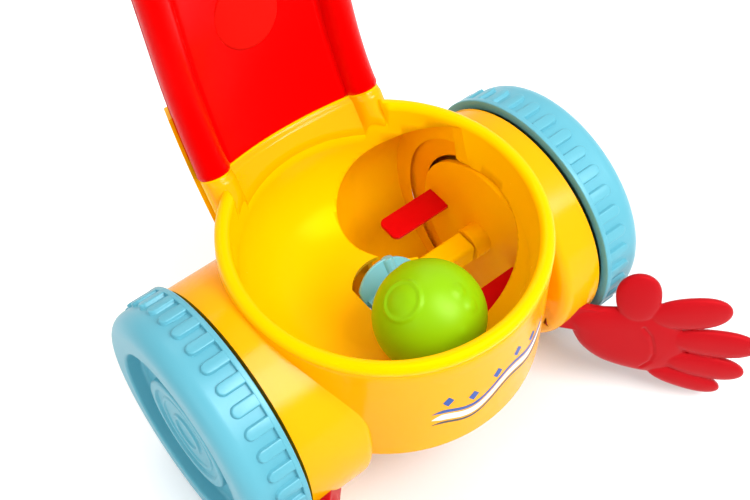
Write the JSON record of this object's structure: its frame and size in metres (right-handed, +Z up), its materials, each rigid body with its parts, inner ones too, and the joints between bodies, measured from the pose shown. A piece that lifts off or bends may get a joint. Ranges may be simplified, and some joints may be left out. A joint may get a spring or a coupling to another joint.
{
  "type": "ball collector push toy",
  "caption": "Push toy on two lugged wheels with a long handle: turning paddles lift loose balls up a lane into an open bowl between gathering hands.",
  "frame": {"origin": "middle of the footprint on the floor, half way between the fingertips and the handle's top", "axes": "+Z up, -Y the way it is pushed, +X the side of the ball lane"},
  "size_m": [0.3192, 0.3486, 0.5222],
  "materials": {
    "yellow_body": "glossy injection-moulded plastic",
    "orange_lane": "glossy injection-moulded plastic",
    "red_handle": "glossy injection-moulded plastic",
    "red_hands": "glossy injection-moulded plastic",
    "red_paddles": "glossy injection-moulded plastic",
    "blue_wheels": "glossy injection-moulded plastic",
    "blue_hub": "glossy injection-moulded plastic",
    "lime_ball": "glossy moulded plastic",
    "steel": "drawn steel",
    "pale_bush": "plain nylon"
  },
  "bodies": {
    "frame": {"bowl": "yellow_body", "body_shell": "yellow_body", "base_pan": "yellow_body", "ball_scroll": "orange_lane", "neck": "yellow_body", "handle_front": "red_handle", "handle_back": "red_handle", "grip_bar": "yellow_body", "left_hand": "red_hands", "right_hand": "red_hands", "left_bush": "pale_bush", "right_bush": "pale_bush", "body_screws": "steel", "handle_screws": "steel"},
    "wheelset": {"left_wheel": "blue_wheels", "right_wheel": "blue_wheels", "left_cap": "blue_wheels", "right_cap": "blue_wheels", "axle_rod": "steel", "axle_clips": "steel", "rotor_disc": "orange_lane", "front_paddle": "red_paddles", "rear_paddle": "red_paddles", "drive_hub": "blue_hub"},
    "loose_ball": {"ball": "lime_ball"}
  },
  "joints": [
    {"name": "axle_spin", "type": "hinge", "parent": "frame", "child": "wheelset", "pos_m": [0, -0.03073, 0.071], "axis": [1, 0, 0], "continuous": true},
    {"name": "ball_lift", "type": "slide", "parent": "frame", "child": "loose_ball", "axis": [0, 0, 1], "range_m": [0, 0.12]}
  ]
}
